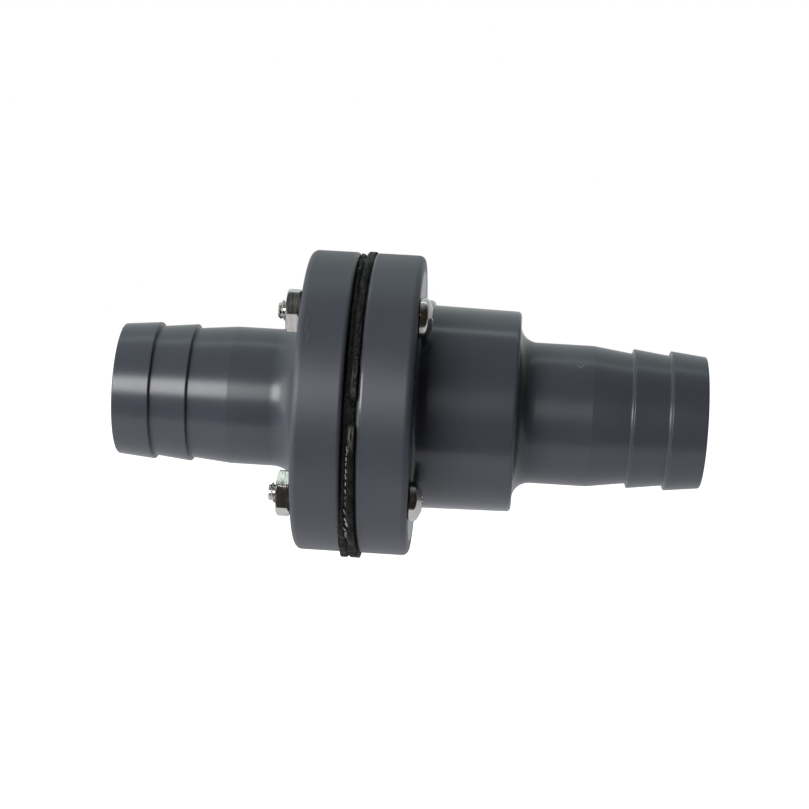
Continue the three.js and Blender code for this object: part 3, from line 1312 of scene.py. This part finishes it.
    def flap(self) -> bmesh.types.BMesh:
        """Shapes the tongue, with rows of faces where it bends.

        Returns:
            The tongue, with its screw hole.
        """
        shape = self.tongue(0, self.hinge_z + self.tab_depth + 0.1)
        shape = carved(shape, bar(self.front - SPARE, self.back + SPARE, self.screw_hole, 48), Cut.REMOVE)
        soften(shape, 0.18, 50, 2)
        for i in range(15):
            height = self.hinge_z + self.tab_depth - 0.1 - 0.4 * i
            bmesh.ops.bisect_plane(
                shape, geom=shape.verts[:] + shape.edges[:] + shape.faces[:],
                plane_co=(0, 0, height * MM), plane_no=(0, 0, 1),
            )
        return shape

    def threads(self) -> bmesh.types.BMesh:
        """Lays the cut ends of the cloth in the groove of the sheet's edge.

        Returns:
            All of the ends.
        """
        shape = bmesh.new()
        for end in self.front_threads:
            self._thread(shape, math.asin(end.depth / self.flange) - math.pi, end)
        for i in range(self.thread_count):
            seed = Vector((i * 0.37, 2.0, 5.0))
            angle = math.tau * (i + 0.6 * noise.noise(seed)) / self.thread_count
            if math.cos(angle) > -0.3 and noise.noise(seed * 3.1) < -0.12:
                length, lean = 0.65 + 0.45 * noise.noise(seed * 2), 0.9 * noise.noise(seed * 2.3)
                self._thread(shape, angle, ThreadEnd(0, length, lean))
        return shape

    def _thread(self, shape: bmesh.types.BMesh, angle: float, end: ThreadEnd) -> None:
        """Adds one thread end, as a short slanted stub of round yarn.

        Args:
            shape: The shape that it is added to.
            angle: Its place round the axis, from +Y towards +Z.
            end: Its length, lean and shift.
        """
        width = self.back - self.front
        tips = []
        for side in (-1, 1):
            turn = angle + side * end.length / 2 / self.flange
            across = self.cloth_line + (end.shift + side * end.lean * end.length / 2) / width
            reach = self.rim(across, turn) + 0.10
            tip = Vector((self.front + across * width, reach * math.cos(turn), reach * math.sin(turn)))
            tips.append(tip * MM)
        step = tips[1] - tips[0]
        slant = step.to_track_quat("Z", "Y").to_matrix().to_4x4()
        place = Matrix.Translation((tips[0] + tips[1]) / 2) @ slant
        bmesh.ops.create_cone(
            shape, cap_ends=True, segments=8, radius1=self.thread_radius * MM,
            radius2=self.thread_radius * 0.75 * MM, depth=step.length, matrix=place,
        )

    def build(self, rubber: bpy.types.Material, thread: bpy.types.Material) -> None:
        """Makes the sheet, its threads and the flap.

        Args:
            rubber: The rubber's finish.
            thread: The cloth's finish.
        """
        ring = piece("rubber_sheet", self.ring(), rubber, 50)
        mount(ring, Body.HOUSING, "gasket_sheet")
        # This share paints sheen as well as dust on the front of the edge.
        add_share(ring, "sheen_and_dust_share", self.sheen_and_dust)
        threads = piece("cloth_thread_ends", self.threads(), thread)
        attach(threads, Body.HOUSING.value)
        flap = piece("rubber_flap", self.flap(), rubber, 50)
        add_share(flap, "sheen_and_dust_share", lambda place: 0.0)
        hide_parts("flap")
        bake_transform(flap)

    def sheen_and_dust(self, place: Vector) -> float:
        """Finds the pale patches on the front of the edge, on its outlet side near mid-height: partly dust,
        partly a painted sheen where the lamp lights the ridge.

        Args:
            place: The place on the sheet, in millimetres.

        Returns:
            How pale it is, from 0 to 1.
        """
        across = (place.x - self.front) / (self.back - self.front)
        if place.y > 0:
            return 0.0
        high = smooth(place.z, 1.5, 3.0) * smooth(-place.z, -12.0, -8.0)
        low = smooth(-place.z, 3.5, 4.6) * smooth(place.z, -10.5, -8.5)
        side = smooth(across, 0.42, 0.6) * smooth(1 - across, 0.0, 0.12)
        ends = smooth(abs(place.z), 9.0, 14.0)
        return max(0.10 * ends, min(1.0, (0.45 * high + 0.95 * low) * side))


# ---------------------------------------------------------------- fasteners


@dataclass
class PanHeadScrew:
    """A 10-24 machine screw along the flow axis, head towards +X, with its seat at x = 0."""

    length: float
    major: float = 2.4
    minor: float = 1.82
    pitch: float = 1.058
    threaded: float = 9.0
    head: float = 4.65
    height: float = 3.0
    rim: float = 1.0
    recess: float = 1.25
    recess_span: float = 5.0
    recess_depth: float = 1.75
    shoulder: float = 1.25
    end_drop: float = 0.22
    end_slope: float = 0.85
    steps: int = 40

    def thread(self) -> bmesh.types.BMesh:
        """Shapes the threaded end: a notched line wound up the screw and trimmed square.

        Returns:
            The thread, in its place on the screw.
        """
        root, crest = self.minor, self.major
        shares = ((0.0, root), (0.06, root), (0.44, crest), (0.56, crest), (0.94, root), (1.0, root))
        notch = Outline([(share * self.pitch, radius) for share, radius in shares])
        turns = math.ceil(self.threaded / self.pitch) + 2
        shape = bmesh.new()
        bmesh.ops.spin(
            shape, geom=notch.drawn(shape, closed=False), cent=(0, 0, 0), axis=(1, 0, 0),
            dvec=(self.pitch / self.steps * MM, 0, 0), angle=math.tau * turns, steps=self.steps * turns,
        )
        bmesh.ops.remove_doubles(shape, verts=shape.verts, dist=0.004 * MM)
        low = 1.5 * self.pitch
        for height, way in ((low, -1), (low + self.threaded, 1)):
            bmesh.ops.bisect_plane(
                shape, geom=shape.verts[:] + shape.edges[:] + shape.faces[:],
                plane_co=(height * MM, 0, 0), plane_no=(way, 0, 0), clear_outer=True,
            )
        open_edges = [edge for edge in shape.edges if edge.is_boundary]
        bmesh.ops.holes_fill(shape, edges=open_edges, sides=0)
        bmesh.ops.recalc_face_normals(shape, faces=shape.faces)
        return moved(shape, Matrix.Translation(((-self.length - low) * MM, 0, 0)))

    def chamfered(self, shape: bmesh.types.BMesh) -> bmesh.types.BMesh:
        """Draws the first thread in towards the screw's end.

        Args:
            shape: The thread, which is changed.

        Returns:
            The same shape.
        """
        for vertex in shape.verts:
            radius = math.hypot(vertex.co.y, vertex.co.z) / MM
            allowed = self.minor - self.end_drop + (vertex.co.x / MM + self.length) * self.end_slope
            if radius > allowed > 0:
                vertex.co.y *= allowed / radius
                vertex.co.z *= allowed / radius
        return shape

    def blank(self) -> bmesh.types.BMesh:
        """Turns the head and the plain shank.

        Returns:
            The screw before its recess and thread.
        """
        shank, tip = self.major - 0.25, -self.length + self.threaded - 0.2
        line = Outline(support=0.05).at(tip, 0).at(tip, shank)
        line.run(-0.2, shank).arc(-0.2, shank + 0.2, 0.2, 270, 360, 4)
        line.arc_to(0.2, self.head - 0.2, 0.2, 180, 90, 5)
        line.arc_to(self.rim, self.head - self.shoulder, self.shoulder, 90, 38, 8)
        crown = self.height - 0.02
        inner = self.head * 0.45
        line.run(crown - 0.10, inner + 0.35).at(crown - 0.02, inner * 0.7)
        line.at(self.height, inner * 0.35).at(self.height, 0)
        return solid_turned(line, 72)

    def cross(self) -> bmesh.types.BMesh:
        """Shapes the cutter for the cross recess, which narrows as it goes in.

        Returns:
            The cutter.
        """
        floor = self.height - self.recess_depth
        arms = []
        for turn in (0, 90):
            arm = block(
                (floor, -self.recess_span / 2, -self.recess / 2),
                (self.height + 0.6, self.recess_span / 2, self.recess / 2),
            )
            for vertex in arm.verts:
                if vertex.co.x < (floor + 0.1) * MM:
                    vertex.co.y *= 0.42
                    vertex.co.z *= 0.62
            arms.append(moved(arm, Matrix.Rotation(math.radians(turn), 4, "X")))
        return carved(arms[0], arms[1], Cut.JOIN)

    def build(self, turn: float) -> bmesh.types.BMesh:
        """Puts the screw together.

        Args:
            turn: The angle of its recess, in degrees.

        Returns:
            The screw.
        """
        head = carved(self.blank(), self.cross(), Cut.REMOVE)
        soften(head, 0.06, 40, 2)
        screw = carved(head, self.chamfered(self.thread()), Cut.JOIN)
        return moved(screw, Matrix.Rotation(math.radians(turn), 4, "X"))


@dataclass
class HexNut:
    """A hexagon nut along the flow axis from x = 0, chamfered on both faces."""

    flats: float = 9.525
    thickness: float = 3.2
    chamfer: float = 0.5
    corner_round: float = 0.42
    hole: float = 2.46
    sink: float = 0.45

    def build(self, turn: float) -> bmesh.types.BMesh:
        """Shapes the nut.

        Args:
            turn: The angle of one flat's normal, in degrees from +Y towards +Z.

        Returns:
            The nut.
        """
        corner = self.flats / math.sqrt(3)
        flat = self.flats / 2
        sink = self.hole + self.sink
        line = Outline(support=0.04).at(0, sink).run(0, flat - 0.05).run(self.chamfer, corner + 0.03)
        line.run(self.thickness - self.chamfer, corner + 0.03).run(self.thickness, flat - 0.05)
        line.run(self.thickness, sink).at(self.thickness - self.sink, self.hole).at(self.sink, self.hole)
        prism = bar(-SPARE, self.thickness + SPARE, corner, 6)
        side = next(face for face in prism.faces if abs(face.normal.x) < 0.5)
        to_first_flat = -math.atan2(side.normal.z, side.normal.y)
        soften(prism, self.corner_round, 50, 3)
        moved(prism, Matrix.Rotation(math.radians(turn) + to_first_flat, 4, "X"))
        return carved(turned(line, 144), prism, Cut.KEEP)


@dataclass
class FlangeFasteners:
    """The four screws with their nuts that clamp the flanges on the sheet."""

    nut_turns: tuple[float, ...] = (157, 186, 222, 191)
    recess_turns: tuple[float, ...] = (15, 62, 31, 78)
    circle: float = 29.8

    def build(self, screw_steel: bpy.types.Material, nut_steel: bpy.types.Material) -> None:
        """Makes each screw and nut in its place.

        Args:
            screw_steel: The screws' finish.
            nut_steel: The nuts' finish.
        """
        rows = zip(bolt_places(self.circle), self.nut_turns, self.recess_turns)
        for number, (place, nut_turn, recess_turn) in enumerate(rows, 1):
            low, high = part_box(f"flange_screw_{number}")
            seat = high.x / MM - PanHeadScrew.height
            screw = PanHeadScrew(length=seat - low.x / MM).build(recess_turn)
            moved(screw, Matrix.Translation(place + Vector((seat * MM, 0, 0))))
            screw_piece = piece(f"clamp_screw_{number}", screw, screw_steel, 35)
            mount(screw_piece, Body.HOUSING, f"flange_screw_{number}")
            nut = HexNut().build(nut_turn)
            moved(nut, Matrix.Translation(place + Vector((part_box(f"flange_nut_{number}")[0].x, 0, 0))))
            nut_piece = piece(f"clamp_nut_{number}", nut, nut_steel, 20)
            mount(nut_piece, Body.HOUSING, f"flange_nut_{number}")


@dataclass
class FlapHardware:
    """The plates, screw and nut that stiffen the flap."""

    hole: float = 2.7
    edge: float = 0.3
    nut_turn: float = 12
    recess_turn: float = 40

    def plate(self, node: str, name: str, material: bpy.types.Material) -> None:
        """Makes one round plate with softened edges.

        Args:
            node: The node that it stands in for.
            name: The piece's name.
            material: Its finish.
        """
        low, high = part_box(node)
        front, back, radius, edge = low.x / MM, high.x / MM, high.z / MM, self.edge
        line = Outline().at(front, self.hole + 0.2)
        line.arc_to(front + edge, radius - edge, edge, 180, 90, 6)
        line.arc_to(back - edge, radius - edge, edge, 90, 0, 6)
        line.run(back, self.hole + 0.2).at(back - 0.2, self.hole).at(front + 0.2, self.hole)
        mount(piece(name, turned(line, 128), material), Body.FLAPPER, node)

    def build(self, plate: bpy.types.Material, fastener: bpy.types.Material) -> None:
        """Makes the four pieces and rides them on the flapper.

        Args:
            plate: The plates' finish.
            fastener: The screw's and the nut's finish.
        """
        self.plate("flap_weight_plate", "weight_plate", plate)
        self.plate("flap_seat_plate", "seat_plate", plate)
        low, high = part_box("flap_screw")
        seat = low.x / MM + PanHeadScrew.height
        screw = PanHeadScrew(length=high.x / MM - seat, threaded=7.0).build(self.recess_turn)
        moved(screw, Matrix.Translation((seat * MM, 0, 0)) @ Matrix.Rotation(math.pi, 4, "Z"))
        mount(piece("plate_screw", screw, fastener, 35), Body.FLAPPER, "flap_screw")
        nut = moved(HexNut().build(self.nut_turn), Matrix.Translation((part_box("flap_nut")[0].x, 0, 0)))
        mount(piece("plate_nut", nut, fastener, 20), Body.FLAPPER, "flap_nut")


# ---------------------------------------------------------------- the studio


@dataclass(frozen=True)
class Softbox:
    """One soft lamp that faces the valve."""

    name: str
    azimuth: float
    elevation: float
    distance: float
    width: float
    height: float
    power: float
    colour: Colour = (1.0, 1.0, 1.0)

    def build(self, target: Vector) -> None:
        """Hangs the lamp and turns it to the valve.

        Args:
            target: The place that it faces.
        """
        data = bpy.data.lights.new(self.name, "AREA")
        data.shape = "RECTANGLE"
        data.size = self.width
        data.size_y = self.height
        data.energy = self.power
        data.color = self.colour
        lamp = bpy.data.objects.new(self.name, data)
        bpy.context.scene.collection.objects.link(lamp)
        away = direction(self.azimuth, self.elevation)
        lamp.location = target + away * self.distance
        lamp.rotation_euler = away.to_track_quat("Z", "Y").to_euler()


def direction(azimuth: float, elevation: float) -> Vector:
    """The way from the valve to a viewer: azimuth 0 is in front, at -Y, and 90 at +X."""
    turn, lift = math.radians(azimuth), math.radians(elevation)
    return Vector((math.sin(turn) * math.cos(lift), -math.cos(turn) * math.cos(lift), math.sin(lift)))


@dataclass
class Studio:
    """Camera, white surroundings, floor and soft lamps."""

    target_x: float = 68.2
    target_z: float = 0.12
    distance: float = 480.6
    azimuth: float = 2.6
    elevation: float = 2.5
    roll: float = 3.34
    lens: float = 88.9
    floor_gap: float = 0.12
    floor_front: float = -0.15
    floor_size: float = 6.0
    bright_side: Sequence[float] = (-0.5, 0.86, 0.0)
    back: Colour = (0.66, 0.66, 0.68)
    front: Colour = (0.028, 0.024, 0.021)
    above: Colour = (0.62, 0.70, 0.69)
    boxes: tuple[Softbox, ...] = (
        Softbox("left_box", -31, 9, 0.9, 0.57, 0.36, 6.7),
        Softbox("left_wash", -66, 4, 0.9, 0.42, 0.60, 1.6),
        Softbox("overhead_strip", 180, 81, 0.6, 0.9, 0.045, 0.26, (0.86, 1.0, 0.98)),
    )

    def camera(self) -> None:
        """Sets the camera where the valve is looked at from."""
        data = bpy.data.cameras.new("camera")
        data.lens = self.lens
        data.sensor_width = 36
        data.clip_start = 0.01
        camera = bpy.data.objects.new("camera", data)
        bpy.context.scene.collection.objects.link(camera)
        away = direction(self.azimuth, self.elevation)
        target = Vector((self.target_x, 0, self.target_z)) * MM
        camera.location = target + away * self.distance * MM
        turn = away.to_track_quat("Z", "Y").to_matrix().to_4x4()
        camera.rotation_euler = (turn @ Matrix.Rotation(math.radians(self.roll), 4, "Z")).to_euler()
        bpy.context.scene.camera = camera

    def floor(self) -> None:
        """Lays a wide pale floor under the valve."""
        shape = bmesh.new()
        bmesh.ops.create_grid(shape, x_segments=1, y_segments=1, size=self.floor_size)
        thing = bpy.data.objects.new("floor", finished_mesh("floor", shape))
        bpy.context.scene.collection.objects.link(thing)
        middle = (0, self.floor_front + self.floor_size, CAD_BOX[0][2] - self.floor_gap)
        thing.data.transform(Matrix.Translation(middle))
        thing.data.materials.append(FloorFinish().build())

    def surroundings(self) -> None:
        """Paints the room: white all round the back, dark and brownish behind the viewer."""
        world = bpy.data.worlds.new("room")
        bpy.context.scene.world = world
        world.use_nodes = True
        tree = world.node_tree
        tree.nodes.clear()
        output = tree.nodes.new("ShaderNodeOutputWorld")
        lit, seen = tree.nodes.new("ShaderNodeBackground"), tree.nodes.new("ShaderNodeBackground")
        choose, ray = tree.nodes.new("ShaderNodeMixShader"), tree.nodes.new("ShaderNodeLightPath")
        place, split = tree.nodes.new("ShaderNodeTexCoord"), tree.nodes.new("ShaderNodeSeparateXYZ")
        facing = tree.nodes.new("ShaderNodeVectorMath")
        facing.operation = "DOT_PRODUCT"
        facing.inputs[1].default_value = self.bright_side
        depth, height = tree.nodes.new("ShaderNodeMapRange"), tree.nodes.new("ShaderNodeMapRange")
        room, ceiling = tree.nodes.new("ShaderNodeMix"), tree.nodes.new("ShaderNodeMix")
        for ramp, (low, high) in ((depth, (-0.75, 0.60)), (height, (0.1, 0.8))):
            ramp.interpolation_type = "SMOOTHSTEP"
            ramp.inputs[1].default_value, ramp.inputs[2].default_value = low, high
        room.data_type = ceiling.data_type = "RGBA"
        ceiling.inputs[6].default_value = (*self.back, 1.0)
        ceiling.inputs[7].default_value = (*self.above, 1.0)
        room.inputs[6].default_value = (*self.front, 1.0)
        seen.inputs["Color"].default_value = (1.0, 1.0, 1.0, 1.0)
        for source, target in (
            (place.outputs["Generated"], split.inputs[0]), (place.outputs["Generated"], facing.inputs[0]),
            (facing.outputs["Value"], depth.inputs[0]),
            (split.outputs[2], height.inputs[0]), (height.outputs[0], ceiling.inputs[0]),
            (depth.outputs[0], room.inputs[0]), (ceiling.outputs[2], room.inputs[7]),
            (room.outputs[2], lit.inputs["Color"]), (ray.outputs["Is Camera Ray"], choose.inputs[0]),
            (lit.outputs[0], choose.inputs[1]), (seen.outputs[0], choose.inputs[2]),
            (choose.outputs[0], output.inputs[0]),
        ):
            tree.links.new(source, target)

    def build(self) -> None:
        """Makes the whole studio."""
        bpy.context.scene.view_settings.view_transform = "Standard"
        self.camera()
        self.floor()
        self.surroundings()
        target = Vector((self.target_x * MM, 0, 0))
        for box in self.boxes:
            box.build(target)


INLET_SCRATCHES_AND_GLINTS = (
    PaleLine((45.1, -31.2, 17.0), (44.9, -32.6, 13.6), 0.12),
    PaleLine((45.6, -33.0, 13.0), (44.8, -33.9, 11.0), 0.16),
    PaleLine((45.6, -33.3, 11.6), (45.0, -33.6, 9.4), 0.10),
    PaleLine((46.6, -30.2, 19.6), (46.2, -31.9, 16.6), 0.10, 0.4),
    PaleLine((47.4, -31.4, 18.0), (46.8, -32.9, 14.7), 0.14, 0.3),
    # Painted highlight: a pale line on the inlet flange's joint edge.
    PaleLine((55.1, -26.9, 24.8), (55.1, -30.0, 20.9), 0.16, 0.6),
    PaleLine((52.1, -36.4, 4.9), (54.0, -36.1, 6.6), 0.30, 0.16),
)
OUTLET_SCRATCHES_AND_GLINTS = (
    PaleLine((108.6, -11.6, 12.3), (109.3, -12.2, 11.6), 0.14),
    PaleLine((109.3, -12.2, 11.6), (110.2, -11.2, 12.6), 0.14),
    # Painted highlight: a pale line on the outlet flange's joint edge.
    PaleLine((60.0, -24.7, 27.2), (60.0, -28.4, 23.2), 0.14, 0.5),
    PaleLine((62.2, -36.6, -3.8), (62.6, -36.6, -4.0), 0.12, 0.5),
    PaleLine((63.0, -36.3, -6.0), (63.5, -36.3, -6.1), 0.12, 0.4),
)


def main() -> None:
    """Builds the valve piece by piece, then the studio."""
    logging.basicConfig(level=logging.INFO, format="%(name)s %(message)s")
    inlet_joint, outlet_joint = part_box("inlet_body")[1].x / MM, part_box("outlet_body")[0].x / MM
    inlet_pvc = PvcFinish("inlet_pvc", joint=inlet_joint, joint_gloss=0.40, pale_lines=INLET_SCRATCHES_AND_GLINTS)
    outlet_pvc = PvcFinish(
        "outlet_pvc", gloss=0.24, barb_gloss=0.33, joint=outlet_joint, pale_lines=OUTLET_SCRATCHES_AND_GLINTS,
    )
    rubber = RubberFinish().build()
    fastener = SteelFinish("stainless_fastener", gloss=0.09).build()
    plate = SteelFinish("flap_plate", gloss=0.28, line_depth=0.012, grain=(1.0, 1.0, 0.05)).build()
    InletHalf().build(inlet_pvc.build())
    OutletHalf().build(outlet_pvc.build())
    RubberSheet().build(rubber, ThreadFinish().build())
    nut_steel = SteelFinish(
        "nut_steel", colour=(0.62, 0.605, 0.575), gloss=0.12,
        line_depth=0.12, line_scale=1500, grain=(1.0, 0.05, 0.05),
    ).build()
    FlangeFasteners().build(fastener, nut_steel)
    FlapHardware().build(plate, fastener)
    Studio().build()


if __name__ == "__main__":
    main()
